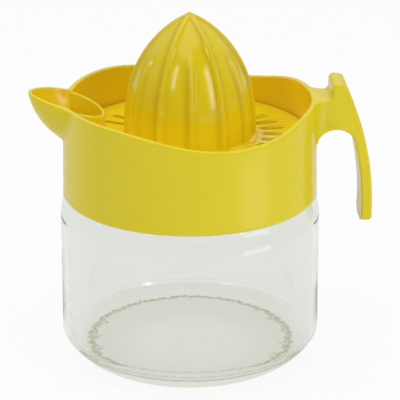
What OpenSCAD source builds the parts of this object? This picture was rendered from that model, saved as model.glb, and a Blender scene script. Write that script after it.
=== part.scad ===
// Citrus juicer: a glass jar, a screw-on pouring collar with spout and handle,
// and a ribbed reamer with its strainer that lifts out of the collar.
// Millimetres. +Z is up, +X points to the handle and -X to the spout.
// The origin is the middle of the ring that the jar stands on.

/* [Glass jar] */
// Outside diameter of the plain panel of the jar
jar_d = 100; // [92:1:116]
// Height of the shoulder above the table
shoulder_h = 66.4; // [55:0.1:85]
// Thickness of the side wall
glass_t = 3; // [2.5:0.1:3.5]
// Thickness of the base, from the table to the inside
base_t = 4.7; // [4:0.1:8]
// Outside diameter of the ring that the jar stands on
foot_d = 75; // [66:1:84]
// Width of that ring
foot_w = 3; // [2:0.5:5]
// Rise of the middle of the base above the table
punt_h = 1.2; // [0.8:0.1:3]
// Height of the rounded heel
heel_h = 11.5; // [8:0.1:14]
// Fullness of the heel's curve, where 2 is an ellipse
heel_curve = 1.4; // [1.3:0.1:2.4]
// Radius inside, between the wall and the base
inside_heel_r = 6.5; // [5:0.5:12]
// How far the beads above and below the panel stand out
bead = 0.4; // [0.2:0.1:0.8]
// Width of each bead
bead_w = 5; // [3:0.5:7]
// Radius of the outer edge of the shoulder
shoulder_r = 2.5; // [1.5:0.5:3.5]
// How far the neck is set in from the panel
neck_step = 5; // [4.5:0.1:6]
// Height of the neck above the shoulder
neck_h = 17.2; // [14:0.1:22]

/* [Seal] */
// Thickness of the sealing ring as it is squeezed
seal_t = 2; // [1:0.1:3]
// How far the ring stands out past the neck
seal_overhang = 1; // [0.5:0.1:1.5]

/* [Pouring collar] */
// Room between the neck and the skirt, where the screw thread runs
thread_room = 2.1; // [1.8:0.1:3]
// Thickness of the skirt at its lower edge
skirt_t = 2.2; // [1.6:0.1:3]
// How much the outside narrows from the lower edge up to the rim
collar_draft = 0.7; // [0.3:0.1:1.2]
// Thickness of the rim
rim_t = 2; // [1.4:0.1:2.6]
// Gap between the jar's shoulder and the skirt
shoulder_gap = 0.6; // [0.4:0.1:1.5]
// Thickness of the ledge that carries the strainer
ledge_t = 2.3; // [1.6:0.1:3]
// Gap between the centring lip and the inside of the neck
lip_gap = 0.5; // [0.3:0.1:0.8]
// Thickness of the centring lip
lip_t = 1.4; // [1:0.1:2]
// Depth of the centring lip below the ledge
lip_h = 6; // [4:0.5:9]
// Height of the rim's lowest point above the strainer
rim_low_h = 9.4; // [7:0.1:14]
// Rise of the rim from there towards the spout
rim_rise = 6.1; // [3:0.1:8]
// Distance of the lowest point from the middle, towards the handle
rim_low_x = 13; // [5:1:20]
// Length of the wave from the lowest point to the crest beside the spout
rim_wave = 49; // [44:1:60]
// Rise of the rim from its lowest point to the handle
handle_rise = 5.4; // [3:0.1:8]
// Length of the sweep from the lowest point to the handle
rim_sweep = 34; // [30:0.5:36]
// How late in the sweep the rim rises, where 1 is evenly
rim_lean = 1.8; // [1.4:0.1:2.2]

/* [Spout] */
// How far the tip stands out from the rim
spout_reach = 13.4; // [9:0.1:16]
// Outside width of the spout
spout_w = 25.2; // [22:0.1:28]
// How far the well stands into the dish
spout_inside = 14.2; // [13.4:0.1:16]
// Thickness of the spout's wall
spout_t = 1.4; // [1:0.1:2]
// Height of the tip above the rim's crest
spout_tip_h = 3; // [0:0.1:4]
// Depth of the well's inner edge below the rim's crest
spout_end_drop = 6.3; // [4:0.1:8]
// How far the lip bows up between the tip and the well's inner edge
lip_bow = 0.9; // [0.5:0.1:1.6]
// Radius of the keel, seen from the side
keel_r = 28.6; // [26:0.1:31]
// Height of the middle of the keel's arc above the tip
keel_rise = 4.9; // [3:0.1:7]
// Radius of the flanks, seen from above
flank_r = 17.5; // [16:0.1:20]

/* [Handle] */
// How far the grip stands out from the rim
handle_reach = 21.9; // [19:0.1:27]
// Width of the handle
handle_w = 16; // [12:0.5:20]
// Thickness of the grip
grip_t = 3.9; // [3:0.1:5]
// Length of the grip, from the top of the thumb rest to its lower end
grip_h = 56.1; // [45:0.1:65]
// Radius of the grip's outer face, seen from the side
grip_r = 114; // [80:1:160]
// Height of the grip's widest point above its lower end
grip_belly = 7; // [2:0.5:15]
// Radius of the grip's lower corners
grip_corner_r = 4; // [2:0.5:6]
// Depth of the bridge between rim and grip
bridge_h = 12; // [9:0.1:15]
// Radius of the arch under the bridge, towards the grip
arch_r = 7.4; // [6.5:0.1:9]
// Radius of the arch towards the collar
arch_flat_r = 9.4; // [9.2:0.1:12]
// Height of the thumb rest above the bridge
thumb_h = 6; // [3:0.1:8]
// Width of the thumb rest at its foot, from the dish side to the grip's outer face
thumb_t = 7.2; // [5:0.1:9]
// Radius at the foot and at the top of the thumb rest
thumb_r = 2; // [1:0.1:2.5]
// Radius of the flare where the bridge runs into the collar
flare_r = 5; // [3:0.5:8]

/* [Reamer and strainer] */
// Diameter of the cone over its ribs
cone_d = 52; // [46:0.5:54]
// Height of the cone above the strainer
cone_h = 48.6; // [40:0.1:56]
// Fullness of the cone's belly
cone_belly = 2.4; // [2:0.1:3]
// Sharpness of the cone's nose, where 1 is sharp and 0.5 is round
cone_nose = 0.69; // [0.6:0.01:1]
// Wall of the cone
cone_t = 2.2; // [1.6:0.1:3]
// Number of ribs that run up to the tip, with as many short ones between them
long_ribs = 6; // [4:1:8]
// Height of a rib above the panels
rib_h = 1.3; // [0.8:0.1:1.8]
// Width of a rib at the foot of the cone
rib_w = 2.8; // [2:0.1:4]
// Height at which the short ribs begin, above the strainer
short_rib_h = 37; // [28:0.5:40]
// Length over which a short rib rises from the panel
rib_runout = 5; // [3:0.5:10]
// Radius of the nub on the tip
nub_r = 1.3; // [1:0.1:2]
// Thickness of the strainer
strainer_t = 2.2; // [1.6:0.1:3]
// Gap between the strainer and the dish, and between its notch and the well
strainer_gap = 0.4; // [0.3:0.1:0.6]
// Number of slots in a full ring
slots = 30; // [20:1:36]
// Angle of the first slot, from the handle
slot_turn = 8; // [0:1:12]
// Width of a slot
slot_w = 2.4; // [1.5:0.1:3]
// Length of a slot
slot_l = 9.5; // [6:0.1:10]
// Plain ring between the foot of the cone and the slots
slot_margin = 2; // [1:0.1:3]

/* [Hidden] */
$fn = 96;
over = 1;                                   // how far a cut runs past a face
bell_n = 24;                                // steps in the outline of the cone

// Radii, from the glass outwards and inwards
jar_r = jar_d/2;
jar_in_r = jar_r - glass_t;
bead_r = jar_r + bead;
foot_r = foot_d/2;
neck_r = jar_r - neck_step;
neck_in_r = neck_r - glass_t;
neck_round = 0.45*glass_t;                  // nearly a full round on the neck's edge
lip_out_r = neck_in_r - lip_gap;
ledge_r = lip_out_r - lip_t;
skirt_r = neck_r + thread_room;
collar_r = skirt_r + skirt_t;
rim_r = collar_r - collar_draft;
dish_r = rim_r - rim_t;
strainer_r = dish_r - strainer_gap;

// Heights, from the table upwards
neck_top = shoulder_h + neck_h;
skirt_low = shoulder_h + shoulder_gap;
ledge_low = neck_top + seal_t;
ledge_top = ledge_low + ledge_t;
floor_z = ledge_top + strainer_t;
rim_low = floor_z + rim_low_h;
rim_crest = rim_low + rim_rise;
blank_top = rim_crest + 2*rim_rise;         // top of the collar's wall before the rim is cut

// Rim height at a distance x from the middle: a wave towards the spout and a late sweep towards the handle
function rim_z(x) =
    x < rim_low_x
        ? rim_low + rim_rise*(1 - cos(180*(rim_low_x - x)/rim_wave))/2
        : rim_low + handle_rise*pow(sin(90*min(1, pow((x - rim_low_x)/rim_sweep, rim_lean))), 2);

// Spout: tip and inner end of its lip, the arc of the lip, the arc of the keel and the well
tip_x = -(rim_r + spout_reach);
tip_z = rim_crest + spout_tip_h;
end_x = -(dish_r - spout_inside);
end_z = rim_crest - spout_end_drop;
lip_half = norm([end_x - tip_x, end_z - tip_z])/2;
lip_arc_r = (lip_half*lip_half + lip_bow*lip_bow)/(2*lip_bow);
lip_up = [tip_z - end_z, end_x - tip_x]/(2*lip_half);
lip_mid = [tip_x + end_x, tip_z + end_z]/2 - lip_up*(lip_arc_r - lip_bow);
keel_x = tip_x + sqrt(keel_r*keel_r - keel_rise*keel_rise);
keel_z = tip_z + keel_rise;
flank_y = flank_r - spout_w/2;
flank_x = keel_r - sqrt(flank_r*flank_r - flank_y*flank_y);
well_x = end_x - spout_w/2;

// Handle: the grip's arc, the bridge and the arch
bridge_z = rim_z(rim_r);
thumb_z = bridge_z + thumb_h;
grip_low = thumb_z - grip_h;
grip_x = rim_r + handle_reach - grip_r;
grip_z = grip_low + grip_belly;
arch_z = bridge_z - bridge_h - arch_r;
function grip_face(r, z) = grip_x + sqrt(r*r - pow(z - grip_z, 2));

// Radius of a bell of a given foot radius and height, at height h
function bell_r(h, foot, tall) =
    foot*pow(max(0, 1 - pow(h/tall, cone_belly)), cone_nose);
// Outline of such a bell from its foot up to a share of its height, close together near the tip
function bell(foot, tall, share = 1) =
    [for (i = [0:bell_n]) let (h = tall*share*sin(90*i/bell_n)) [bell_r(h, foot, tall), h]];

panel_r = cone_d/2 - rib_h;
panel_h = cone_h - rib_h;
hollow_r = panel_r - cone_t;
hollow_h = panel_h - 2*cone_t;
nub_z = cone_h - 0.7*nub_r;                 // the nub is sunk into the tip
root_r = panel_r - cone_t/2;                // ribs are rooted half way into the wall
root_h = panel_h - cone_t;
rib_angle = 2*asin(rib_w/cone_d);
slot_r = cone_d/2 + slot_margin + slot_w/2; // middle of a slot's inner end
slot_end_r = slot_r + slot_l - slot_w;
notch_r = spout_w/2 + strainer_gap;

// Points of an arc, for the outline of a turned piece
function arc(x, y, r, from, to, n = 8) =
    [for (i = [0:n]) let (a = from + (to - from)*i/n) [x + r*cos(a), y + r*sin(a)]];

// Points of the heel, from the bearing ring up to the lower bead
function heel(n = 12) =
    [for (i = [0:n]) let (a = 90*i/n)
        [foot_r + (bead_r - foot_r)*pow(sin(a), 2/heel_curve), heel_h*(1 - pow(cos(a), 2/heel_curve))]];

// Turned jar: outside from the ring up to the neck, then down the inside
module glass_jar() {
    inner_fillet = 0.4*neck_step;           // the inside swings in through two arcs
    inner_shoulder = neck_step - inner_fillet;
    inner_top = shoulder_h - glass_t;
    foot_in_r = foot_r - foot_w;
    color([0.84, 0.92, 0.89, 0.45])
        rotate_extrude()
            polygon(concat(
                [[0, punt_h], [foot_in_r - 2*punt_h, punt_h], [foot_in_r, 0]],
                heel(),
                [[bead_r, heel_h + bead_w], [jar_r, heel_h + 2*bead_w]],
                [[jar_r, shoulder_h - 3*bead_w], [bead_r, shoulder_h - 2*bead_w]],
                arc(bead_r - shoulder_r, shoulder_h - shoulder_r, shoulder_r, 0, 90),
                [[neck_r, shoulder_h]],
                arc(neck_r - neck_round, neck_top - neck_round, neck_round, 0, 90),
                arc(neck_in_r + neck_round, neck_top - neck_round, neck_round, 90, 180),
                arc(neck_in_r + inner_fillet, inner_top + inner_fillet, inner_fillet, 180, 270),
                arc(jar_in_r - inner_shoulder, inner_top - inner_shoulder, inner_shoulder, 90, 0),
                arc(jar_in_r - inside_heel_r, base_t + inside_heel_r, inside_heel_r, 0, -90),
                [[0, base_t]]
            ));
}

// Flat sealing ring, squeezed between the neck and the ledge
module jar_seal() {
    color("whitesmoke")
        translate([0, 0, neck_top])
            difference() {
                cylinder(r = neck_r + seal_overhang, h = seal_t);
                translate([0, 0, -over])
                    cylinder(r = neck_in_r, h = seal_t + 2*over);
            }
}

// Skirt, ledge, centring lip and dish wall in one turned blank
module collar_blank() {
    lean = collar_draft/(rim_crest - skirt_low);
    rotate_extrude()
        polygon([
            [skirt_r, skirt_low],
            [collar_r, skirt_low],
            [collar_r - lean*(blank_top - skirt_low), blank_top],
            [dish_r, blank_top],
            [dish_r, ledge_top],
            [ledge_r, ledge_top],
            [ledge_r, ledge_low - lip_h],
            [lip_out_r, ledge_low - lip_h],
            [lip_out_r, ledge_low],
            [skirt_r, ledge_low]
        ]);
}

// Everything above the waved rim
module above_rim(n = 32) {
    reach = collar_r + over;
    rotate([90, 0, 0])
        linear_extrude(height = 2*reach, center = true)
            polygon(concat(
                [for (i = [0:n]) let (x = -reach + 2*reach*i/n) [x, rim_z(x)]],
                [[reach, blank_top + over], [-reach, blank_top + over]]
            ));
}

// Boat-shaped hull: a lens-shaped section turned about a cross axis above the keel
module spout_hull(inset) {
    translate([keel_x, 0, keel_z])
        rotate([90, 0, 0])
            rotate_extrude()
                intersection() {
                    translate([flank_x, flank_y])
                        circle(r = flank_r - inset);
                    translate([flank_x, -flank_y])
                        circle(r = flank_r - inset);
                    translate([flank_x/2, -spout_w])
                        square([keel_r, 2*spout_w]);
                }
}

// Everything on the spout's side of a plane across it
module ahead_of(x) {
    translate([tip_x - keel_r, -spout_w, 0])
        cube([x - tip_x + keel_r, 2*spout_w, tip_z + 2*keel_r]);
}

// Everything under the bowed lip of the spout
module under_lip() {
    translate([lip_mid[0], spout_w, lip_mid[1]])
        rotate([90, 0, 0])
            cylinder(r = lip_arc_r, h = 2*spout_w, $fn = 360);
}

// Round well inside the dish, from a given height up
module spout_well(r, from) {
    translate([well_x, 0, from])
        cylinder(r = r, h = blank_top - from);
}

// Hull outside the wall, and the wall of the well inside the dish
module spout() {
    intersection() {
        under_lip();
        union() {
            intersection() {
                spout_hull(0);
                ahead_of(well_x);
            }
            intersection() {
                spout_well(spout_w/2, ledge_low);
                cylinder(r = dish_r + rim_t/2, h = blank_top);
            }
        }
    }
}

// Inside of the spout: the hull's hollow, and the well down to the ledge
module spout_hollow() {
    intersection() {
        spout_hull(spout_t);
        ahead_of(well_x + over);
    }
    intersection() {
        spout_well(spout_w/2 - spout_t, ledge_top);
        cylinder(r = dish_r, h = blank_top);
    }
    intersection() {
        spout_well(spout_w/2 - spout_t, ledge_low - over);
        cylinder(r = ledge_r, h = blank_top);
    }
}

// What is left of a square corner outside a quarter circle
module corner(r) {
    difference() {
        translate([-over, -over])
            square(r + over);
        translate([r, r])
            circle(r = r);
    }
}

// Side view of the handle: thumb rest, bridge and grip
module handle_side() {
    wall_x = dish_r + rim_t/2;
    thumb_x = grip_face(grip_r, bridge_z) - thumb_t;
    gap_x = grip_face(grip_r - grip_t, arch_z);
    flat_end = 180 - asin((arch_flat_r - arch_r)/arch_flat_r);  // level with the arch's foot on the grip
    difference() {
        intersection() {
            translate([grip_x, grip_z])
                circle(r = grip_r, $fn = 360);
            translate([wall_x, grip_low - over])
                square([grip_r, grip_h + over]);
        }
        // step from the thumb rest down to the bridge
        difference() {
            translate([0, bridge_z])
                square([thumb_x, thumb_h + over]);
            translate([thumb_x, bridge_z])
                rotate(90)
                    corner(thumb_r);
        }
        translate([thumb_x, thumb_z])
            rotate(-90)
                corner(thumb_r);
        // finger gap under the arch
        intersection() {
            translate([grip_x, grip_z])
                circle(r = grip_r - grip_t, $fn = 360);
            translate([0, grip_low - 2*over])
                square([grip_r, arch_z - grip_low + 2*over]);
        }
        polygon(concat(
            [[gap_x, arch_z - over]],
            arc(gap_x - arch_r, arch_z, arch_r, 0, 90, 12),
            arc(gap_x - arch_r, arch_z + arch_r - arch_flat_r, arch_flat_r, 90, flat_end, 12),
            [[wall_x - over, arch_z - over]]
        ));
    }
}

// Plan of the handle: a strip that flares where it meets the collar
module handle_plan() {
    foot_x = sqrt(pow(rim_r, 2) - pow(handle_w/2 + flare_r, 2));
    translate([0, -handle_w/2])
        square([rim_r + handle_reach + over, handle_w]);
    for (side = [0, 1])
        mirror([0, side, 0])
            translate([foot_x, handle_w/2])
                corner(flare_r);
}

// Front view of the handle: the grip's rounded lower end, with room for the flare above it
module handle_front() {
    half_w = handle_w/2 + 2*flare_r;
    corner_y = handle_w/2 - grip_corner_r;
    corner_z = grip_low + grip_corner_r;
    polygon(concat(
        arc(-corner_y, corner_z, grip_corner_r, 180, 270),
        arc(corner_y, corner_z, grip_corner_r, 270, 360),
        [[half_w, corner_z], [half_w, thumb_z + over], [-half_w, thumb_z + over], [-half_w, corner_z]]
    ));
}

module handle() {
    intersection() {
        rotate([90, 0, 0])
            linear_extrude(height = handle_w + 4*flare_r, center = true)
                handle_side();
        linear_extrude(height = thumb_z + over)
            handle_plan();
        rotate([90, 0, 90])
            linear_extrude(height = rim_r + handle_reach + over)
                handle_front();
    }
}

module pouring_collar() {
    color([0.87, 0.78, 0.15])
        difference() {
            union() {
                difference() {
                    collar_blank();
                    above_rim();
                }
                spout();
                handle();
            }
            spout_hollow();
        }
}

// Rib up to the tip
module long_rib() {
    share = 0.995;                          // stops just short of the axis
    rotate([0, 0, -rib_angle/2])
        rotate_extrude(angle = rib_angle)
            polygon(concat(
                bell(cone_d/2, cone_h, share),
                [for (i = [bell_n:-1:0]) bell(root_r, root_h, share)[i]]
            ));
}

// Height of a short rib over the panel: full at the foot, sinking into the panel at its top
short_rib_sink = 0.4;                       // how deep it sinks, as a share of its height
function short_rise(h) =
    rib_h*(1 - (1 + short_rib_sink)*pow(max(0, (h - short_rib_h + rib_runout)/rib_runout), 2));

module short_rib(n = 20) {
    rotate([0, 0, -rib_angle/2])
        rotate_extrude(angle = rib_angle)
            polygon(concat(
                [for (i = [0:n]) let (h = short_rib_h*sin(90*i/n))
                    [bell_r(h, panel_r, panel_h) + short_rise(h), h]],
                [for (i = [n:-1:0]) let (h = short_rib_h*sin(90*i/n))
                    [bell_r(h, root_r, root_h), h]]
            ));
}

// Slots that stay clear of the notch round the well
function slot_is_clear(a) =
    let (r = min(slot_end_r, max(slot_r, well_x*cos(a))))
    norm([r*cos(a) - well_x, r*sin(a)]) > notch_r + slot_w;

module strainer_slot() {
    translate([slot_r, -slot_w/2])
        square([slot_end_r - slot_r, slot_w]);
    for (r = [slot_r, slot_end_r])
        translate([r, 0])
            circle(d = slot_w, $fn = 24);
}

module reamer_strainer() {
    pitch = 180/long_ribs;
    color([0.90, 0.76, 0.10])
        difference() {
            union() {
                translate([0, 0, ledge_top])
                    cylinder(r = strainer_r, h = strainer_t);
                translate([0, 0, floor_z]) {
                    rotate_extrude()
                        polygon(concat(
                            [[0, -strainer_t/2], [panel_r, -strainer_t/2]],
                            bell(panel_r, panel_h)
                        ));
                    translate([0, 0, nub_z])
                        sphere(r = nub_r, $fn = 32);
                    for (i = [0:long_ribs - 1]) {
                        rotate([0, 0, 2*pitch*i])
                            long_rib();
                        rotate([0, 0, 2*pitch*i + pitch])
                            short_rib();
                    }
                }
            }
            translate([0, 0, ledge_top])
                rotate_extrude()
                    polygon(concat([[0, -over], [hollow_r, -over]], bell(hollow_r, hollow_h + strainer_t)));
            translate([0, 0, ledge_top - over])
                linear_extrude(height = strainer_t + 2*over)
                    for (i = [0:slots - 1])
                        let (a = slot_turn + 360*i/slots)
                            if (slot_is_clear(a))
                                rotate(a)
                                    strainer_slot();
            translate([well_x, 0, ledge_top - over])
                cylinder(r = notch_r, h = strainer_t + 2*over);
        }
}

glass_jar();
jar_seal();
pouring_collar();
reamer_strainer();
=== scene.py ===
# Citrus juicer: a ribbed reamer with its strainer, lying in a pouring collar that screws on to a glass jar.
# Metres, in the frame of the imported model: +Z up, +X to the handle, -X to the spout.
import bmesh
import bpy
import math
from mathutils import Matrix, Vector


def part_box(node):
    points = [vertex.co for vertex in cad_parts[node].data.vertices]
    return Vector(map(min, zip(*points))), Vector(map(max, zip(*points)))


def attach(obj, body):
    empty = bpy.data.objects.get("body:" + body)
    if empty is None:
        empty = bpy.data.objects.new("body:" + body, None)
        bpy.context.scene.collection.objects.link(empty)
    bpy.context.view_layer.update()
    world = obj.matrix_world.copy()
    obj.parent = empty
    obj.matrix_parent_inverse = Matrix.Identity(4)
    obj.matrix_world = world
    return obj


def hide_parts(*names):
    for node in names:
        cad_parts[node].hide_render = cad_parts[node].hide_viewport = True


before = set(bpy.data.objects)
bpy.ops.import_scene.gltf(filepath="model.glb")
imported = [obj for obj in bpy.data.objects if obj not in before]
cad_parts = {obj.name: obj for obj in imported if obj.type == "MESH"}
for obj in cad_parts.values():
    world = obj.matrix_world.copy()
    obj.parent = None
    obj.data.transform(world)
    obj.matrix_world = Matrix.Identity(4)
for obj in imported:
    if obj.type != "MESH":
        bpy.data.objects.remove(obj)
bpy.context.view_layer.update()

# Glass jar: half a litre of clear pressed glass with a thick base, a rounded heel, a bead above and
# below the panel and a knurled ring to stand on. It is pressed in one piece, and the screw thread for
# the collar runs round its neck.
mm = 0.001
jar_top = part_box("glass_jar")[1]
bead_r = jar_top.x
bead_w = 5*mm
bead_h = 0.1*mm
panel_r = bead_r - 0.4*mm
wall_t = 2.2*mm
base_t = 4.7*mm
foot_r = 37.5*mm
foot_w = 3*mm
foot_in_r = foot_r - foot_w
punt_h = 1.2*mm
heel_h = 11.5*mm
heel_curve = 1.4
heel_steps = 22
neck_t = 3*mm
neck_top = jar_top.z
neck_r = panel_r - 5*mm
neck_in_r = neck_r - neck_t
neck_fillet = 0.8*mm
neck_round = 1.35*mm
shoulder_z = neck_top - 16.4*mm
shoulder_r = 0.5*mm
shoulder_edge_r = 49.3*mm
inside_r = panel_r - wall_t
inside_heel_r = 7*mm
inside_top = shoulder_z - wall_t
inside_turn = 1.2*mm
floor_edge_r = inside_r - inside_heel_r
thread_lead = 6*mm
thread_h = 1.2*mm
thread_half_w = 1.4*mm
thread_z = shoulder_z + 4.6*mm
neck_turns = 1.5
knurls = 132
knurl_z = 3*mm
knurl_h = 0.05*mm


def arc(centre_r, centre_z, radius, start, end, steps):
    """Points of an arc in the plane of an outline, as (radius, height), between two angles in degrees."""
    angles = [math.radians(start + (end - start)*i/steps) for i in range(steps + 1)]
    return [(centre_r + radius*math.cos(a), centre_z + radius*math.sin(a)) for a in angles]


def line(start, end, steps):
    """Points of a straight stretch of an outline, both ends included."""
    shares = [i/steps for i in range(steps + 1)]
    return [(start[0] + (end[0] - start[0])*s, start[1] + (end[1] - start[1])*s) for s in shares]


def ease(share):
    """Runs from 0 to 1 with a flat start and end."""
    share = min(1, max(0, share))
    return share*share*(3 - 2*share)


def eased(start, end, steps):
    """Points of a stretch of an outline that swings over from one radius to another."""
    shares = [i/steps for i in range(steps + 1)]
    return [(start[0] + (end[0] - start[0])*ease(s), start[1] + (end[1] - start[1])*s) for s in shares]


def verts_in(geometry):
    """The vertices among the items that an operator gives back."""
    return [item for item in geometry if isinstance(item, bmesh.types.BMVert)]


def turned(outline, steps, closed=False):
    """An outline of (radius, height) points, turned round the Z axis: an eighth, doubled three times."""
    bm = bmesh.new()
    points = [bm.verts.new((r, 0, z)) for r, z in outline]
    pairs = list(zip(points, points[1:] + points[:1]))
    edges = [bm.edges.new(pair) for pair in (pairs if closed else pairs[:-1])]
    bmesh.ops.spin(bm, geom=points + edges, axis=(0, 0, 1), angle=math.pi/4, steps=steps//8)
    for turn in (45, 90, 180):
        copy = bmesh.ops.duplicate(bm, geom=bm.verts[:] + bm.edges[:] + bm.faces[:])["geom"]
        bmesh.ops.rotate(bm, verts=verts_in(copy), matrix=Matrix.Rotation(math.radians(turn), 3, "Z"))
    bmesh.ops.remove_doubles(bm, verts=bm.verts, dist=0.001*mm)
    bmesh.ops.recalc_face_normals(bm, faces=bm.faces)
    return bm


def thread_rise(angle, z, start_z, turns):
    """Height of a screw ridge at an angle and height, fading out at both ends of its run."""
    rise = 0
    for lap in range(math.ceil(turns)):
        run = angle/(2*math.pi) + lap
        off = abs(z - start_z - thread_lead*run)/thread_half_w
        fade = ease(12*run)*ease(12*(turns - run))
        rise = max(rise, thread_h*fade*ease(1.6*(1 - off)))
    return rise


def as_object(name, bm):
    """Puts a mesh on an object of its own."""
    mesh = bpy.data.meshes.new(name)
    bm.to_mesh(mesh)
    bm.free()
    piece = bpy.data.objects.new(name, mesh)
    bpy.context.scene.collection.objects.link(piece)
    return piece


def as_piece(name, bm, material, body, slot, *nodes):
    """Makes a mesh the finished piece of a body, in the place of the CAD nodes named."""
    piece = as_object(name, bm)
    piece.data.materials.append(material)
    piece.data.shade_smooth()
    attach(piece, body)
    if nodes:
        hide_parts(*nodes)
    return piece


def new_material(name):
    """A new node material, with its node tree and its Principled shader."""
    material = bpy.data.materials.new(name)
    material.use_nodes = True
    tree = material.node_tree
    return material, tree, tree.nodes["Principled BSDF"]


def object_noise(tree, scale, detail):
    """A noise pattern that stays with the piece."""
    place = tree.nodes.new("ShaderNodeTexCoord")
    noise = tree.nodes.new("ShaderNodeTexNoise")
    noise.inputs["Scale"].default_value = scale
    noise.inputs["Detail"].default_value = detail
    tree.links.new(place.outputs["Object"], noise.inputs["Vector"])
    return noise.outputs["Fac"]


def painted(tree, layer):
    """A value from 0 to 1 that is painted on the vertices of a piece."""
    node = tree.nodes.new("ShaderNodeAttribute")
    node.attribute_name = layer
    return node.outputs["Fac"]


def mixed(tree, share, colour, other):
    """A colour between two, by a share."""
    node = tree.nodes.new("ShaderNodeMix")
    node.data_type = "RGBA"
    for socket, value in (("A", colour), ("B", other)):
        if isinstance(value, tuple):
            node.inputs[socket].default_value = (*value, 1)
        else:
            tree.links.new(value, node.inputs[socket])
    tree.links.new(share, node.inputs["Factor"])
    return node.outputs["Result"]


def bump(tree, height, strength, distance):
    """A bump that follows a height pattern."""
    node = tree.nodes.new("ShaderNodeBump")
    node.inputs["Strength"].default_value = strength
    node.inputs["Distance"].default_value = distance
    tree.links.new(height, node.inputs["Height"])
    return node.outputs["Normal"]


def pressed_glass(name, colour, roughness, ior):
    """Clear glass that is darker and browner where marks of the mould and painted shade lie on it."""
    material, tree, shader = new_material(name)
    tint = mixed(tree, painted(tree, "mould_mark_and_shade"), colour, (0.36, 0.33, 0.17))
    tree.links.new(tint, shader.inputs["Base Color"])
    shader.inputs["Transmission Weight"].default_value = 1
    shader.inputs["Roughness"].default_value = roughness
    shader.inputs["IOR"].default_value = ior
    return material, tree, shader


# The second glass hardly bends the light, so that none is trapped in the base or under the shoulder.
jar_glass, tree, shader = pressed_glass("jar_glass", (0.87, 0.88, 0.855), roughness=0.01, ior=1.5)
ripple = bump(tree, object_noise(tree, scale=55, detail=2), strength=0.05, distance=1*mm)
tree.links.new(ripple, shader.inputs["Normal"])
stippled_glass = pressed_glass("stippled_glass", (0.86, 0.875, 0.83), roughness=0.05, ior=1.01)[0]
stipple_z = 7*mm
stipple_top_z = shoulder_z - 9*mm

heel = [(foot_r + (bead_r - foot_r)*math.sin(a)**(2/heel_curve), heel_h*(1 - math.cos(a)**(2/heel_curve)))
        for a in [math.pi/2*i/heel_steps for i in range(heel_steps + 1)]]
seam_low = heel[18][1]
seam_high = heel_h + 0.7*mm
seam_half_w = 0.35*mm
jar_outline = (
    [(foot_in_r*share, punt_h*(1 - share**2)**2) for share in [i/16 for i in range(17)]]
    + line((foot_in_r + 0.5*mm, 0), (foot_r - 0.5*mm, 0), 3)
    + heel
    + line((bead_r, seam_high - seam_half_w), (bead_r, seam_high + seam_half_w), 2)
    + eased((bead_r, heel_h + 0.4*bead_w), (bead_r - bead_h, heel_h + 4*bead_w), 12)
    + eased((bead_r - bead_h, shoulder_z - 4.5*bead_w), (bead_r, shoulder_z - 2*bead_w), 12)
    + eased((bead_r, shoulder_z - 1.9*bead_w), (shoulder_edge_r, shoulder_z - shoulder_r), 12)
    + arc(shoulder_edge_r - shoulder_r, shoulder_z - shoulder_r, shoulder_r, 15, 90, 5)
    + arc(neck_r + neck_fillet, shoulder_z + neck_fillet, neck_fillet, 270, 180, 4)
    + line((neck_r, shoulder_z + 1.2*mm), (neck_r, neck_top - 1.8*mm), 28)
    + arc(neck_r - neck_round, neck_top - neck_round, neck_round, 0, 90, 6)
    + arc(neck_in_r + neck_round, neck_top - neck_round, neck_round, 90, 180, 6)
    + arc(neck_in_r + wall_t, inside_top + wall_t, wall_t, 180, 270, 6)
    + arc(inside_r - inside_turn, inside_top - inside_turn, inside_turn, 90, 0, 6)
    + [(inside_r, inside_top - inside_turn - 0.3*mm), (inside_r, stipple_top_z)]
    + [(inside_r, base_t + inside_heel_r + 0.6*mm), (inside_r, base_t + inside_heel_r + 0.3*mm)]
    + arc(floor_edge_r, base_t + inside_heel_r, inside_heel_r, 0, -90, 12)
    + line((floor_edge_r - 0.1*mm, base_t), (floor_edge_r - 4.1*mm, base_t), 26)
    + line((floor_edge_r - 6*mm, base_t), (0, base_t), 4)
)
bm = turned(jar_outline, 480)
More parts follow.
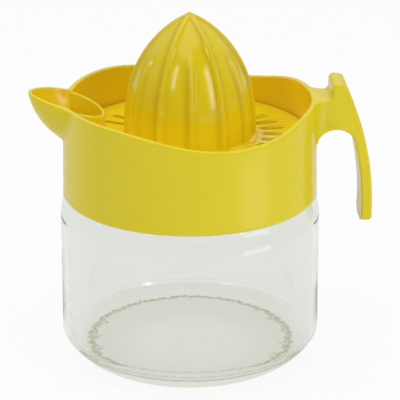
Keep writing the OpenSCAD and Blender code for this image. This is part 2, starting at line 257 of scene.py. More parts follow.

# Marks of the mould: a wavy line round the floor, in two strands at the sides, and two seams at the heel.
# The base is tinted darker towards its edge, and painted shade lies on the knurls at the front of the sides
# and on the seams, darker at the front. Each wave of the line has a size, laps in a turn and a start.
mould_mark_and_shade = bm.verts.layers.float.new("mould_mark_and_shade")
line_waves = ((0.35, 5, 1), (0.3, 13, 0), (0.4, 31, 2), (0.4, 53, 0), (0.5, 89, 1), (0.4, 113, 2))
line_r = floor_edge_r - 1.3*mm
line_wander = 0.7*mm
line_half_w = 0.9*mm
line_h = 0.3*mm
line_shade = 1.2
strand_off = 1.6
strand_share = 0.7
knurl_shade = 0.4
seam_shade = 0.1
front_seam_shade = 0.5
middle_shade = 0.05
base_edge_shade = 0.17
base_shade_from = 18*mm
base_shade_over = 16*mm
bm.normal_update()
for vert in bm.verts:
    reach, z = math.hypot(vert.co.x, vert.co.y), vert.co.z
    angle = math.atan2(vert.co.y, vert.co.x) % (2*math.pi)
    at_side = ease(2*abs(math.cos(angle)) - 0.9)
    in_front = ease(0.3 - 1.2*math.sin(angle))
    on_seam = min(abs(z - seam_low), abs(z - seam_high)) < 0.1*mm
    knurl_wave = (1 + math.cos(knurls*angle + 1.5*math.sin(7*angle)))/2
    near_edge = ease((reach - base_shade_from)/base_shade_over)
    base_shade = middle_shade + (base_edge_shade - middle_shade)*near_edge
    if z > shoulder_z + 1*mm and reach > neck_r - 0.1*mm:
        swell = thread_rise(angle, z, thread_z, neck_turns)
        vert.co.xy *= (reach + swell)/reach
    elif abs(z - base_t) < 0.01*mm:
        wander = sum(size*math.sin(laps*angle + start) for size, laps, start in line_waves)
        off = (reach - line_r - line_wander*wander)/line_half_w
        strand = off + at_side*(strand_off + 0.8*math.sin(19*angle) + 0.5*math.sin(47*angle))
        ridge = max(math.exp(-off*off), strand_share*at_side*math.exp(-2*strand*strand))
        ridge *= 1 + 0.4*math.sin(71*angle + 3*math.sin(9*angle))
        vert.co.z += line_h*ridge
        vert[mould_mark_and_shade] = min(1, base_shade + line_shade*ridge)
    # Painted shade on the knurls, at the front of both sides.
    elif vert.normal.z < -0.05 and z < stipple_z + 0.5*mm:
        on_heel = at_side*in_front*ease((reach - foot_r)/(2*mm))
        vert[mould_mark_and_shade] = base_shade + knurl_shade*on_heel*knurl_wave
    # The seams, with painted shade that makes them darker at the front.
    elif on_seam and reach > bead_r - 2*mm:
        shade = seam_shade + (front_seam_shade - seam_shade)*in_front
        vert[mould_mark_and_shade] = shade*(1 + 0.6*math.sin(23*angle)*math.sin(61*angle))
    if z < knurl_z and reach > foot_in_r:
        share = ease(4*(reach - foot_in_r)/foot_w)*ease(2 - 2*z/knurl_z)
        vert.co.z += knurl_h*share*knurl_wave
for face in bm.faces:
    middle = face.calc_center_median()
    at_inside = math.hypot(middle.x, middle.y) < inside_r + 0.1*mm
    faces_inwards = face.normal.xy.dot(middle.xy) < 0.01*mm
    under_shoulder = at_inside and faces_inwards and middle.z > stipple_top_z
    under_base = middle.z < stipple_z and face.normal.z < -0.01
    on_floor = middle.z < base_t + 0.5*mm and face.normal.z > 0.5
    if under_base or on_floor or under_shoulder:
        face.material_index = 1
jar = as_piece("glass_jar_body", bm, jar_glass, "jar", "glass", "glass_jar")
jar.data.materials.append(stippled_glass)

# Sealing ring: a flat ring of soft silicone rubber, cut from sheet, that lies on the neck and is
# squeezed under the collar's ledge.
seal_low, seal_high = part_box("jar_seal")
seal_edge = 0.4*mm


def sharp_edges(bm, degrees):
    """Edges at which two faces meet at more than an angle."""
    limit = math.radians(degrees)
    return [edge for edge in bm.edges if edge.is_manifold and edge.calc_face_angle() > limit]


def soften(bm, edges, offset, segments):
    """Rounds edges off."""
    bmesh.ops.bevel(bm, geom=edges, offset=offset, segments=segments, affect="EDGES", profile=0.5,
                    material=-1)


seal_rubber, tree, shader = new_material("seal_rubber")
shader.inputs["Base Color"].default_value = (0.72, 0.70, 0.64, 1)
shader.inputs["Roughness"].default_value = 0.62
shader.inputs["Specular IOR Level"].default_value = 0.35
grain = bump(tree, object_noise(tree, scale=2600, detail=3), strength=0.25, distance=0.1*mm)
tree.links.new(grain, shader.inputs["Normal"])

bm = turned([(neck_in_r, seal_low.z), (seal_high.x, seal_low.z), (seal_high.x, seal_high.z),
             (neck_in_r, seal_high.z)], 180, closed=True)
soften(bm, sharp_edges(bm, 60), seal_edge, 2)
as_piece("sealing_ring", bm, seal_rubber, "seal", "seal", "jar_seal")

# Pouring collar: one moulding of glossy yellow plastic. A skirt with an inside thread goes over the
# neck, a ledge carries the strainer, and the wall of the dish rises in a wave to a boat-shaped spout.
# The hook handle is moulded on opposite the spout.
collar_low, collar_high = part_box("pouring_collar")
strainer_low, reamer_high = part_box("reamer_strainer")
collar_r = collar_high.y
collar_draft = 0.7*mm
skirt_z = shoulder_z + 0.05*mm
skirt_in_r = collar_r - 2.2*mm
skirt_turns = 1.75
strainer_t = 2.2*mm
ledge_low = seal_high.z
ledge_top = strainer_low.z
ledge_round = 0.5*mm
floor_z = ledge_top + strainer_t
rim_t = 2*mm
rim_r = collar_r - collar_draft
dish_r = rim_r - rim_t
lip_out_r = neck_in_r - 0.5*mm
lip_low = ledge_low - 6*mm
ledge_r = lip_out_r - 1.4*mm
rim_low = floor_z + 9.4*mm
rim_rise = 6.1*mm
rim_low_x = 13*mm
rim_wave = 49*mm
rim_sweep = 34*mm
rim_lean = 1.8
rim_crest = rim_low + rim_rise
handle_rise = 5.4*mm
spout_w = 25.2*mm
spout_t = 1.4*mm
spout_fillet = 5*mm
spout_turn = math.radians(40)
tip_x = collar_low.x
tip_z = rim_crest + 3*mm
well_fillet = 3*mm
well_end_x = -(dish_r - 14.2*mm)
well_end_z = rim_crest - 6.3*mm
well_x = well_end_x - spout_w/2
lip_bow = 0.9*mm
keel_fillet = 1.5*mm
keel_turn = math.radians(14)
keel_r = 28.6*mm
keel_z = tip_z + 4.9*mm
keel_x = tip_x + math.sqrt(keel_r**2 - (keel_z - tip_z)**2)
hull_limit = 70*mm
flank_r = 17.5*mm
nose_r = 3*mm
flank_y = flank_r - spout_w/2 + nose_r/2
flank_x = keel_r - math.sqrt(flank_r**2 - flank_y**2)


def ranged(tree, value, low, high, start=0, end=1):
    """A value, taken from the range between a start and an end to another range."""
    node = tree.nodes.new("ShaderNodeMapRange")
    for socket, number in (("From Min", start), ("From Max", end), ("To Min", low), ("To Max", high)):
        node.inputs[socket].default_value = number
    tree.links.new(value, node.inputs["Value"])
    return node.outputs["Result"]


def moulded_plastic(name, colour, shade, paints, smooth, rough, shine):
    """Glossy moulded plastic with a faint flow ripple: two close colours that drift over the piece, and
    one more for each layer of painted light and shade on its vertices."""
    material, tree, shader = new_material(name)
    tint = mixed(tree, object_noise(tree, scale=38, detail=3), colour, shade)
    for layer, paint in paints:
        tint = mixed(tree, painted(tree, layer), tint, paint)
    tree.links.new(tint, shader.inputs["Base Color"])
    gloss = ranged(tree, object_noise(tree, scale=120, detail=4), smooth, rough)
    tree.links.new(gloss, shader.inputs["Roughness"])
    shader.inputs["IOR"].default_value = 1.49
    shader.inputs["Specular IOR Level"].default_value = shine
    flow = bump(tree, object_noise(tree, scale=420, detail=2), strength=0.04, distance=0.3*mm)
    tree.links.new(flow, shader.inputs["Normal"])
    return material


def rim_height(x):
    """Height of the rim: a wave towards the spout and a late sweep towards the handle."""
    if x < rim_low_x:
        return rim_low + rim_rise*(1 - math.cos(math.pi*(rim_low_x - x)/rim_wave))/2
    share = min(1, ((x - rim_low_x)/rim_sweep)**rim_lean)
    return rim_low + handle_rise*math.sin(math.pi/2*share)**2


def lip_height(x):
    """Height of the spout's lip: a shallow arc from the tip to the inner end of the well."""
    share = (x - tip_x)/(well_end_x - tip_x)
    return tip_z + (well_end_z - tip_z)*share + 4*lip_bow*share*(1 - share)


def wall_reach(z):
    """Outside radius of the plain wall, which narrows a little towards the rim."""
    return collar_r - collar_draft*(z - skirt_z)/(rim_crest - skirt_z)


def hull_reach(turn, z, inset):
    """How far the boat-shaped hull reaches from the axis, at an angle from the spout and a height."""
    section_r = flank_r - inset

    def is_inside(reach):
        x, y = -reach*math.cos(turn), abs(reach*math.sin(turn))
        off = y - nose_r/2 if y > nose_r else y*y/(2*nose_r)
        depth = section_r**2 - (off + flank_y)**2
        return depth > 0 and math.hypot(x - keel_x, z - keel_z) < flank_x + math.sqrt(depth)

    if turn > spout_turn:
        return 0
    near, far = -keel_x/math.cos(turn), hull_limit
    if not is_inside(near):
        return near
    for _ in range(30):
        middle = (near + far)/2
        near, far = (middle, far) if is_inside(middle) else (near, middle)
    return near


def joined(a, b, radius):
    """The larger of two reaches, with a fillet where they meet."""
    gap = max(0, radius - abs(a - b))
    return max(a, b) + gap*gap/(4*radius)


def outer_reach(turn, z):
    """Outside of the collar: the wall and the hull, with a fillet that is wider on the hull's flanks."""
    fillet = keel_fillet + (spout_fillet - keel_fillet)*ease(turn/keel_turn)
    return joined(wall_reach(z), hull_reach(turn, z, 0), fillet)


def wall_top(turn):
    """Height of the rim at an angle from the spout, or of the lip where the spout stands out."""
    rim_z = rim_height(-rim_r*math.cos(turn))
    z = rim_z
    for _ in range(12):
        hull = hull_reach(turn, z, 0)
        share = ease((hull - wall_reach(z) + 1*mm)/(3*mm))
        z = (1 - share)*rim_z + share*lip_height(-hull*math.cos(turn))
    return z


# On the inside, a brighter amber is painted for the light that comes through the wall: painted light.
collar_plastic = moulded_plastic(
    "collar_plastic", colour=(0.84, 0.69, 0.012), shade=(0.81, 0.66, 0.010),
    paints=[("inside", (0.95, 0.655, 0.010))], smooth=0.19, rough=0.27, shine=0.38)

# The collar is first turned with a level rim. Its wall is then stretched to the waved rim and drawn out
# into the spout, and its rows are crowded together towards the spout.
plain_top = rim_low
rim_half_t = (wall_reach(plain_top) - dish_r)/2
rim_mid = dish_r + rim_half_t
rim_square = 0.6
rim_foot = plain_top - 1.4*mm
skirt_edge = 0.3*mm
stretch_from = ledge_top + 0.8*mm
outer_rows = (line((0, skirt_z + 1*mm), (0, ledge_low - 4*mm), 6)
              + line((0, ledge_low - 3*mm), (0, rim_foot), 26))
collar_outline = (
    arc(collar_r - skirt_edge, skirt_z + skirt_edge, skirt_edge, 270, 350, 3)
    + [(wall_reach(z), z) for _, z in outer_rows]
    + [(rim_mid + rim_half_t*math.copysign(abs(math.cos(a))**rim_square, math.cos(a)),
        plain_top - rim_half_t*(1 - math.sin(a)**rim_square))
       for a in [math.radians(15*i) for i in range(1, 12)]]
    + line((dish_r, rim_foot), (dish_r, stretch_from), 16)
    + arc(dish_r - ledge_round, ledge_top + ledge_round, ledge_round, 0, -90, 3)
    + arc(ledge_r + ledge_round, ledge_top - ledge_round, ledge_round, 90, 180, 3)
    + arc(ledge_r + ledge_round, lip_low + ledge_round, ledge_round, 180, 270, 3)
    + arc(lip_out_r - ledge_round, lip_low + ledge_round, ledge_round, 270, 360, 3)
    + [(lip_out_r, ledge_low - 0.4*mm), (lip_out_r + 0.4*mm, ledge_low)]
    + [(skirt_in_r - 0.4*mm, ledge_low)]
    + line((skirt_in_r, ledge_low - 0.6*mm), (skirt_in_r, skirt_z + 0.8*mm), 40)
)
bm = turned(collar_outline, 400, closed=True)
inside = bm.verts.layers.float.new("inside")
crowding = 0.6
fixed_band = 3*mm
mouth_turn = math.radians(13.7)
mouth_fade = math.radians(12)
mouth_r = dish_r - 0.4*mm
mouth_squash = 0.08
spout_amber = 0.7
tops = {}
for vert in bm.verts:
    reach, z = math.hypot(vert.co.x, vert.co.y), vert.co.z
    spun = math.atan2(vert.co.y, vert.co.x)
    angle = spun + crowding*math.sin(spun)
    turn = math.pi - abs(angle)
    key = round(turn, 4)
    if key not in tops:
        tops[key] = wall_top(turn)
    on_wall = z > stretch_from - 0.01*mm and reach > dish_r - 0.01*mm
    outside = reach > skirt_in_r + 1*mm
    if on_wall:
        across = (reach - dish_r)/(wall_reach(z) - dish_r)
        # Painted light: amber on the dish's inner face, weaker towards the spout.
        amber = spout_amber + (1 - spout_amber)*ease((turn - mouth_turn)/mouth_fade)
        vert[inside] = ease(1 - 4*across)*amber
        if z > plain_top - fixed_band:
            z += tops[key] - plain_top
        else:
            stretch = (tops[key] - fixed_band - stretch_from)/(plain_top - fixed_band - stretch_from)
            z = stretch_from + (z - stretch_from)*stretch
        outer = outer_reach(turn, z)
        inner = joined(dish_r, hull_reach(turn, z, spout_t), well_fillet)
        reach = inner + (outer - inner)*across
    elif outside:
        reach += outer_reach(turn, z) - wall_reach(z)
    elif turn < mouth_turn and reach < mouth_r and z > lip_low - 1*mm:
        reach = mouth_r - mouth_squash*(mouth_r - reach)
        z = ledge_low + mouth_squash*(z - ledge_low) if z < ledge_low else z
    elif skirt_z + 0.7*mm < z < ledge_low - 0.5*mm and reach > skirt_in_r - 0.1*mm:
        reach -= thread_rise(angle % (2*math.pi), z, thread_z - thread_lead/2, skirt_turns)
    vert.co = (reach*math.cos(angle), reach*math.sin(angle), z)
as_piece("collar_body", bm, collar_plastic, "collar", "collar", "pouring_collar")

# The well: a half round wall inside the dish, which keeps pulp out of the spout and lets the juice
# rise from the jar. It is moulded with the collar, and thins out where it meets the wall.
well_half_turn = math.radians(100)
well_taper_from = math.radians(84)
well_thinning = 0.8
well_r = spout_w/2
well_in_r = well_r - spout_t
well_round = spout_t/2
well_low = ledge_top - 1*mm
well_rows = 14
well_bm = bmesh.new()
inside = well_bm.verts.layers.float.new("inside")
section = (line((well_in_r, well_low), (well_in_r, well_end_z - well_round), well_rows)
           + arc(well_r - well_round, well_end_z - well_round, well_round, 150, 30, 4)
           + line((well_r, well_end_z - well_round), (well_r, well_low), well_rows))
points = [well_bm.verts.new((r, 0, z)) for r, z in section]
face = well_bm.faces.new(points)
bmesh.ops.rotate(well_bm, verts=points, matrix=Matrix.Rotation(-well_half_turn, 3, "Z"))
bmesh.ops.spin(well_bm, geom=[face], axis=(0, 0, 1), angle=2*well_half_turn, steps=96)
bmesh.ops.translate(well_bm, verts=well_bm.verts, vec=(well_x, 0, 0))
for vert in well_bm.verts:
    share = (vert.co.z - well_low)/(well_end_z - well_low)
    # Painted light: amber on the well, fading out at its top edge.
    vert[inside] = spout_amber*ease((well_end_z - 0.5*mm - vert.co.z)/(1*mm))
    vert.co.z += share*(lip_height(vert.co.x) - well_end_z)
    out = Vector((vert.co.x - well_x, vert.co.y))
    past = abs(math.atan2(out.y, out.x)) - well_taper_from
    taper = ease(past/(well_half_turn - well_taper_from))
    thinned = out.length - taper*well_thinning*(out.length - well_in_r)
    vert.co.xy = Vector((well_x, 0)) + out*thinned/out.length
bmesh.ops.recalc_face_normals(well_bm, faces=well_bm.faces)
as_piece("spout_well", well_bm, collar_plastic, "collar", "collar")

# Hook handle: a flat strip moulded on to the collar opposite the spout. It leaves the rim in a level
# bridge, stands up in a thumb rest and turns down into a slightly bowed grip with rounded corners.
handle_half_w = 8*mm
handle_edge = 0.9*mm
root_x = 46.8*mm
flare_r = 6*mm
flare_reach = 0.97*flare_r
flare_turn = 75
flare_steps = 10
bridge_z = rim_height(rim_r)
bridge_t = 12*mm
thumb_z = collar_high.z + 0.5*mm
thumb_t = 7.9*mm
thumb_r = 2*mm
thumb_edge = 0.7*mm
grip_t = 4.2*mm
grip_r = 114*mm
grip_x = collar_high.x - grip_r
grip_low = collar_low.z
grip_z = grip_low + 7*mm
grip_top = thumb_z - 0.6*mm
grip_corner_r = 4*mm
grip_edge = 1.8*mm
arch_r = 7.4*mm
arch_flat_r = 9.4*mm
arch_z = bridge_z - bridge_t - arch_r


def grip_face(radius, z):
    """Where the grip's bowed face stands at a height."""
    return grip_x + math.sqrt(radius**2 - (z - grip_z)**2)


thumb_x = grip_face(grip_r, bridge_z) - thumb_t
gap_x = grip_face(grip_r - grip_t, arch_z)
grip_rows = [grip_top + (grip_low - grip_top)*i/28 for i in range(29)]
gap_rows = [grip_low + (arch_z - grip_low)*i/16 for i in range(16)]
handle_outline = (
    [(root_x, bridge_z)]
    + arc(thumb_x - thumb_r, bridge_z + thumb_r, thumb_r, 270, 360, 6)
    + arc(thumb_x + thumb_r, thumb_z - thumb_r, thumb_r, 180, 80, 6)
    + [(grip_face(grip_r, z), z) for z in grip_rows]
    + [(grip_face(grip_r - grip_t, z), z) for z in gap_rows]
    + arc(gap_x - arch_r, arch_z, arch_r, 0, 90, 12)
    + arc(gap_x - arch_r, arch_z + arch_r - arch_flat_r, arch_flat_r, 93, 165, 10)
)
bm = bmesh.new()
face = bm.faces.new([bm.verts.new((x, -handle_half_w, z)) for x, z in handle_outline])
side = bmesh.ops.extrude_face_region(bm, geom=[face])["geom"]
bmesh.ops.translate(bm, verts=verts_in(side), vec=(0, 2*handle_half_w, 0))
bmesh.ops.recalc_face_normals(bm, faces=bm.faces)


def span_y(edge):
    """How far an edge runs across the handle."""
    return abs(edge.verts[1].co.y - edge.verts[0].co.y)


def flare_centre(z):
    """Where the flare's arc has its middle, so that it runs smoothly into the wall at a height."""
    return math.sqrt((wall_reach(z) + flare_r)**2 - (handle_half_w + flare_r)**2)


def cut_row(bm, point, across):
    """Cuts a row of new edges through a mesh, on a plane."""
    bmesh.ops.bisect_plane(bm, geom=bm.verts[:] + bm.edges[:] + bm.faces[:], dist=0.001*mm,
                           plane_co=point, plane_no=across)


def runs_out(edge):
    """Whether an edge of the handle lies where it runs out into the wall, and isn't rounded."""
    far = max(edge.verts, key=lambda vert: vert.co.x).co
    return far.x < root_x + (0.3*mm if far.z > bridge_z - 5*mm else 2*mm)


low_corners = [edge for edge in sharp_edges(bm, 60) if span_y(edge) < 0.01*mm
               and max(vert.co.z for vert in edge.verts) < grip_low + 0.01*mm]
soften(bm, low_corners, grip_corner_r, 8)
ends = [edge for edge in sharp_edges(bm, 40) if span_y(edge) > 1*mm
        and min(vert.co.x for vert in edge.verts) > root_x + 1*mm]
soften(bm, [edge for edge in ends if edge.verts[0].co.z < bridge_z], grip_edge, 4)
soften(bm, [edge for edge in ends if edge.is_valid and edge.verts[0].co.z > bridge_z], thumb_edge, 3)
for a in [math.radians(flare_turn*i/flare_steps) for i in range(flare_steps + 1)]:
    cut_row(bm, (flare_centre(bridge_z) - flare_r*math.sin(a), 0, 0), (1, 0, 0))
for y in (-6*mm, -3*mm, 0, 3*mm, 6*mm):
    cut_row(bm, (0, y, 0), (0, 1, 0))
for vert in bm.verts:
    inward = min(flare_reach, flare_centre(vert.co.z) - vert.co.x)
    if inward > 0:
        flared = handle_half_w + flare_r - math.sqrt(flare_r**2 - inward**2)
        vert.co.y *= flared/handle_half_w
        if vert.co.z > bridge_z - 0.01*mm:
            drop = bridge_z - rim_height(rim_r*math.cos(math.atan2(vert.co.y, vert.co.x)))
            vert.co.z -= drop*ease(inward/flare_r)
soften(bm, [edge for edge in sharp_edges(bm, 40) if not runs_out(edge)], handle_edge, 3)
for edge in bm.edges:
    edge.smooth = max(vert.co.x for vert in edge.verts) > root_x + 0.2*mm
handle = as_piece("hook_handle", bm, collar_plastic, "collar", "collar")
flat_faces = handle.modifiers.new("flat_faces", "WEIGHTED_NORMAL")
flat_faces.weight = 60
flat_faces.keep_sharp = True

# Reamer cone: the ribbed bell that the fruit is turned on, hollow underneath. Six ribs run up to the
# tip and six shorter ones stand between them; it is moulded in one with the strainer, of the same
# yellow plastic in a slightly warmer batch.
cone_r = 25.5*mm
cone_h = 48.6*mm
cone_belly = 2.6
cone_nose = 0.74
cone_t = 2.4*mm
foot_fillet = 1*mm
foot_steps = 6
nub_r = 1.3*mm
nub_h = cone_h - 0.7*nub_r
rib_pitch = math.radians(60)
rib_turn = math.radians(-2)
rib_h = 1.4*mm
rib_half_w = 2.3*mm
rib_slim = 0.32
short_rib_top = 37*mm
short_rib_fade = 6*mm
rib_shade_off = 0.9
left_rib_shade, left_rib_shade_w = 0.8, 0.5
right_rib_shade, right_rib_shade_w = 0.3, 0.4
low_rib_shade = 0.4
rib_shade_fade = 32*mm
amber_top = 34*mm

# Painted light and shade: a lighter amber low on the cone, and a darker amber as shade beside the ribs.
reamer_plastic = moulded_plastic(
    "reamer_plastic", colour=(0.78, 0.625, 0.011), shade=(0.75, 0.59, 0.009),
    paints=[("inside", (0.98, 0.77, 0.012)), ("painted_rib_shade", (0.68, 0.46, 0.006))],
    smooth=0.12, rough=0.18, shine=0.42)


def bell(share):
    """Share of the cone's radius that is left at a share of its height."""
    return max(0, 1 - share**cone_belly)**cone_nose


def crest_reach(h):
    """Radius of the cone over its ribs at a height above the strainer, with the fillet at its foot."""
    low = max(0, foot_fillet - h)
    return cone_r*bell(h/cone_h) + foot_fillet - math.sqrt(foot_fillet**2 - low**2)


def rib_rise(off):
    """Share of a rib's height at a distance from its crest, in half widths of the rib."""
    return ease(1 - abs(off))


def rib_shade_share(off):
    """Share of the painted shade, a dark amber, on both sides of a rib, and more on its left."""
    left = left_rib_shade*math.exp(-((off + rib_shade_off)/left_rib_shade_w)**2)
    right = right_rib_shade*math.exp(-((off - rib_shade_off)/right_rib_shade_w)**2)
    return left + right


def over_ribs(form, h, angle):
    """The larger value of a rib's form at a place on the cone, of the long ribs' and of the short ones'."""
    long_off = (angle + rib_pitch/2) % rib_pitch - rib_pitch/2
    short_off = angle % rib_pitch - rib_pitch/2
    half_turn = rib_half_w/crest_reach(h)
    short_share = ease((short_rib_top - h)/short_rib_fade)
    return max(form(long_off/half_turn), short_share*form(short_off/half_turn))


top_row = 0.988*cone_h
cone_steps = 72
foot_rows = [foot_fillet*(1 - math.cos(math.pi/2*i/foot_steps)) for i in range(foot_steps)]
cone_rows = foot_rows + [top_row*math.sin(math.pi/2*i/cone_steps) for i in range(1, cone_steps + 1)]
hollow_r = cone_r - cone_t
hollow_top = cone_h - 5*mm
hollow_h = hollow_top + strainer_t
hollow_rows = [math.cos(math.pi/2*i/20) for i in range(1, 21)]
cone_outline = (
    [(crest_reach(h), floor_z + h) for h in cone_rows]
    + arc(0, floor_z + nub_h, nub_r, 20, 90, 5)
    + [(0, floor_z + hollow_top)]
    + [(hollow_r*bell(share), ledge_top + hollow_h*share) for share in hollow_rows]
    + [(cone_r - 1*mm, ledge_top + 0.2*mm)]
)
bm = turned(cone_outline, 480, closed=True)
inside = bm.verts.layers.float.new("inside")
painted_rib_shade = bm.verts.layers.float.new("painted_rib_shade")
# Painted light low on the cone, and painted shade beside the ribs, weaker low down.
for vert in bm.verts:
    reach, h = math.hypot(vert.co.x, vert.co.y), vert.co.z - floor_z
    vert[inside] = ease(1 - h/amber_top)
    on_cone = -0.01*mm < h < top_row + 0.01*mm
    if on_cone and abs(reach - crest_reach(max(0, h))) < 0.05*mm:
        h = max(0, h)
        angle = math.atan2(vert.co.y, vert.co.x) - rib_turn
        fade = low_rib_shade + (1 - low_rib_shade)*ease(h/rib_shade_fade)
        vert[painted_rib_shade] = fade*over_ribs(rib_shade_share, h, angle)
        depth = min(rib_h, rib_slim*crest_reach(h))*ease(2*h/(3*mm) + 0.4)
        drop = depth*(1 - over_ribs(rib_rise, h, angle))
        vert.co.xy *= (reach - drop)/reach
as_piece("reamer_cone", bm, reamer_plastic, "reamer", "reamer", "reamer_strainer")

# Strainer: the flat ring round the cone's foot that holds back the pips, with radial slots for the
# juice and a notch that fits round the well. It lies loose on the collar's ledge.
strainer_r = reamer_high.y
strainer_in_r = hollow_r + 0.2*mm
strainer_edge = 0.4*mm
slots = 30
slot_turn = 8
slot_half_w = 1.2*mm
slot_from = cone_r + 2.5*mm + slot_half_w
slot_to = slot_from + 9.5*mm - 2*slot_half_w
notch_r = well_r + 0.4*mm


def is_clear(angle):
    """Whether a slot at an angle stays clear of the notch."""
    reach = min(slot_to, max(slot_from, well_x*math.cos(angle)))
    return math.hypot(reach*math.cos(angle) - well_x, reach*math.sin(angle)) > notch_r + 2*slot_half_w


cutter_low, cutter_high = ledge_top - 2*mm, floor_z + 2*mm
cutter_bm = bmesh.new()
bmesh.ops.create_cone(cutter_bm, cap_ends=True, segments=160, radius1=notch_r, radius2=notch_r,
                      depth=cutter_high - cutter_low,
                      matrix=Matrix.Translation((well_x, 0, (cutter_low + cutter_high)/2)))
for i in range(slots):
    angle = math.radians(slot_turn + 360*i/slots)
    if is_clear(angle):
        slot = bmesh.ops.create_circle(cutter_bm, cap_ends=True, segments=20, radius=slot_half_w)["verts"]
        outer_end = [vert for vert in slot if vert.co.x > 0.01*mm]
        bmesh.ops.translate(cutter_bm, verts=outer_end, vec=(slot_to - slot_from, 0, 0))
        bmesh.ops.translate(cutter_bm, verts=slot, vec=(slot_from, 0, cutter_low))
        bmesh.ops.rotate(cutter_bm, verts=slot, matrix=Matrix.Rotation(angle, 3, "Z"))
        top_side = bmesh.ops.extrude_face_region(cutter_bm, geom=slot[0].link_faces[:])["geom"]
        bmesh.ops.translate(cutter_bm, verts=verts_in(top_side), vec=(0, 0, cutter_high - cutter_low))
bmesh.ops.recalc_face_normals(cutter_bm, faces=cutter_bm.faces)
bm = turned([(strainer_in_r, ledge_top), (strainer_r, ledge_top), (strainer_r, floor_z),
             (strainer_in_r, floor_z)], 240, closed=True)
blank = as_object("strainer_blank", bm)
cutter = as_object("strainer_cutter", cutter_bm)
cut = blank.modifiers.new("slots", "BOOLEAN")
cut.object = cutter
cut.solver = "EXACT"
bm = bmesh.new()
bm.from_object(blank, bpy.context.evaluated_depsgraph_get())
for scratch in (blank, cutter):
    bpy.data.objects.remove(scratch)
bmesh.ops.remove_doubles(bm, verts=bm.verts, dist=0.01*mm)
soften(bm, sharp_edges(bm, 60), strainer_edge, 2)

# Painted light: the amber is full in the slots and underneath, and half as strong on top, apart from the
# spout's side, where more is painted against the cone's shadow.
inside = bm.verts.layers.float.new("inside")
top_amber = 0.5
amber_over = 30*mm
for vert in bm.verts:
    on_top = vert.co.z > floor_z - 0.1*mm
    vert[inside] = top_amber + (1 - top_amber)*ease(-vert.co.x/amber_over) if on_top else 1
strainer = as_piece("strainer_ring", bm, reamer_plastic, "reamer", "reamer")
strainer.modifiers.new("flat_faces", "WEIGHTED_NORMAL").weight = 60

# Studio: a white floor that runs up into a white background, soft boxes at the right, at the left and
# overhead, a low card beside the jar and an even soft dome, which is darker in front where the plastic
# mirrors it. The camera stands at the photograph's height and turn.
camera_turn = math.radians(-3.6)
camera_tilt = math.radians(21.3)
camera_distance = 1.0
aim = Vector((3.9*mm, 0, 62.6*mm))
frame_px = 400
focal_px = 2565

camera_data = bpy.data.cameras.new("camera")
camera_data.sensor_width = 36
camera_data.lens = focal_px/frame_px*camera_data.sensor_width
camera = bpy.data.objects.new("camera", camera_data)
bpy.context.scene.collection.objects.link(camera)
back = Vector((0, -math.cos(camera_tilt), math.sin(camera_tilt)))
camera.location = aim + camera_distance*back
camera.rotation_euler = (math.pi/2 - camera_tilt, 0, 0)
camera.location.rotate(Matrix.Rotation(camera_turn, 3, "Z"))
camera.rotation_euler.z = camera_turn
bpy.context.scene.camera = camera


def maths(tree, operation, *values):
    """A sum on numbers and on the outputs of other nodes."""
    node = tree.nodes.new("ShaderNodeMath")
    node.operation = operation
    for socket, value in zip(node.inputs, values):
        if isinstance(value, float):
            socket.default_value = value
        else:
            tree.links.new(value, socket)
    return node.outputs[0]


def rays(tree, kind):
    """1 for the rays of a kind, and 0 for all others."""
    return tree.nodes.new("ShaderNodeLightPath").outputs[kind]


def seen_rays(tree):
    """1 for rays that the camera sends out, straight or through the glass, and 0 for all others."""
    return maths(tree, "MAXIMUM", rays(tree, "Is Camera Ray"), rays(tree, "Is Transmission Ray"))


def chosen(tree, share, first, second):
    """One of two shaders, by the kind of ray."""
    choice = tree.nodes.new("ShaderNodeMixShader")
    for socket, value in zip(choice.inputs, (share, first, second)):
        tree.links.new(value, socket)
    return choice.outputs["Shader"]


world = bpy.data.worlds.new("white_studio")
bpy.context.scene.world = world
world.use_nodes = True
tree = world.node_tree
towards = tree.nodes.new("ShaderNodeTexCoord")
axes = tree.nodes.new("ShaderNodeSeparateXYZ")
tree.links.new(towards.outputs["Generated"], axes.inputs[0])
dome = tree.nodes["Background"]
dome.inputs["Color"].default_value = (1, 1, 1, 1)
dome_light = ranged(tree, axes.outputs["Y"], 0.19, 0.61, start=-0.8, end=0.2)
tree.links.new(dome_light, dome.inputs["Strength"])
room = tree.nodes.new("ShaderNodeBackground")
skyline = ranged(tree, axes.outputs["Z"], 0.3, 1, start=0.05, end=0.3)
tree.links.new(skyline, room.inputs["Color"])
room_light = ranged(tree, axes.outputs["Y"], 0.05, 0.8, start=-0.35, end=0.25)
tree.links.new(room_light, room.inputs["Strength"])
backdrop = tree.nodes.new("ShaderNodeBackground")
backdrop.inputs["Color"].default_value = (1, 1, 1, 1)
mirrored = rays(tree, "Is Glossy Ray")
around = chosen(tree, mirrored, dome.outputs["Background"], room.outputs["Background"])
around = chosen(tree, seen_rays(tree), around, backdrop.outputs["Background"])
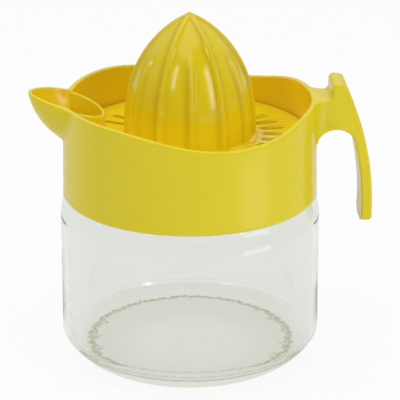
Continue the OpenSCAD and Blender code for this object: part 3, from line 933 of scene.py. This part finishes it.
tree.links.new(around, tree.nodes["World Output"].inputs["Surface"])


def soft_box(name, turn, tilt, distance, width, height, power):
    """A rectangular lamp that faces the juicer from an angle right of the camera and a height angle."""
    lamp = bpy.data.lights.new(name, "AREA")
    lamp.shape = "RECTANGLE"
    lamp.size = width
    lamp.size_y = height
    lamp.energy = power
    holder = bpy.data.objects.new(name, lamp)
    holder.visible_camera = False
    a, e = math.radians(turn) + camera_turn, math.radians(tilt)
    away = Vector((math.sin(a)*math.cos(e), -math.cos(a)*math.cos(e), math.sin(e)))
    holder.location = Vector((0, 0, 80*mm)) + distance*away
    holder.rotation_euler = away.to_track_quat("Z", "Y").to_euler()
    bpy.context.scene.collection.objects.link(holder)


soft_box("soft_box_right", turn=44, tilt=22, distance=0.9, width=0.14, height=0.6, power=1.75)
soft_box("soft_box_left", turn=-36, tilt=32, distance=0.9, width=0.10, height=0.35, power=0.8)
soft_box("low_card", turn=54, tilt=-16, distance=0.23, width=0.10, height=0.032, power=0.018)
soft_box("soft_box_top", turn=-60, tilt=82, distance=1.1, width=1.1, height=1.1, power=5.5)

seen_glow = 0.92
mirrored_glow = 0.3
bm = bmesh.new()
bmesh.ops.create_grid(bm, x_segments=1, y_segments=1, size=3)
floor = as_object("floor", bm)
floor_paint, tree, shader = new_material("floor_paint")
shader.inputs["Base Color"].default_value = (0.9, 0.9, 0.9, 1)
shader.inputs["Roughness"].default_value = 1
shader.inputs["Specular IOR Level"].default_value = 0
glow = tree.nodes.new("ShaderNodeEmission")
glow.inputs["Color"].default_value = (1, 1, 1, 1)
glow_share = maths(tree, "MAXIMUM", maths(tree, "MULTIPLY", seen_rays(tree), seen_glow),
                   maths(tree, "MULTIPLY", rays(tree, "Is Glossy Ray"), mirrored_glow))
painted_floor = chosen(tree, glow_share, shader.outputs["BSDF"], glow.outputs["Emission"])
tree.links.new(painted_floor, tree.nodes["Material Output"].inputs["Surface"])
floor.data.materials.append(floor_paint)

bpy.context.scene.view_settings.view_transform = "Standard"
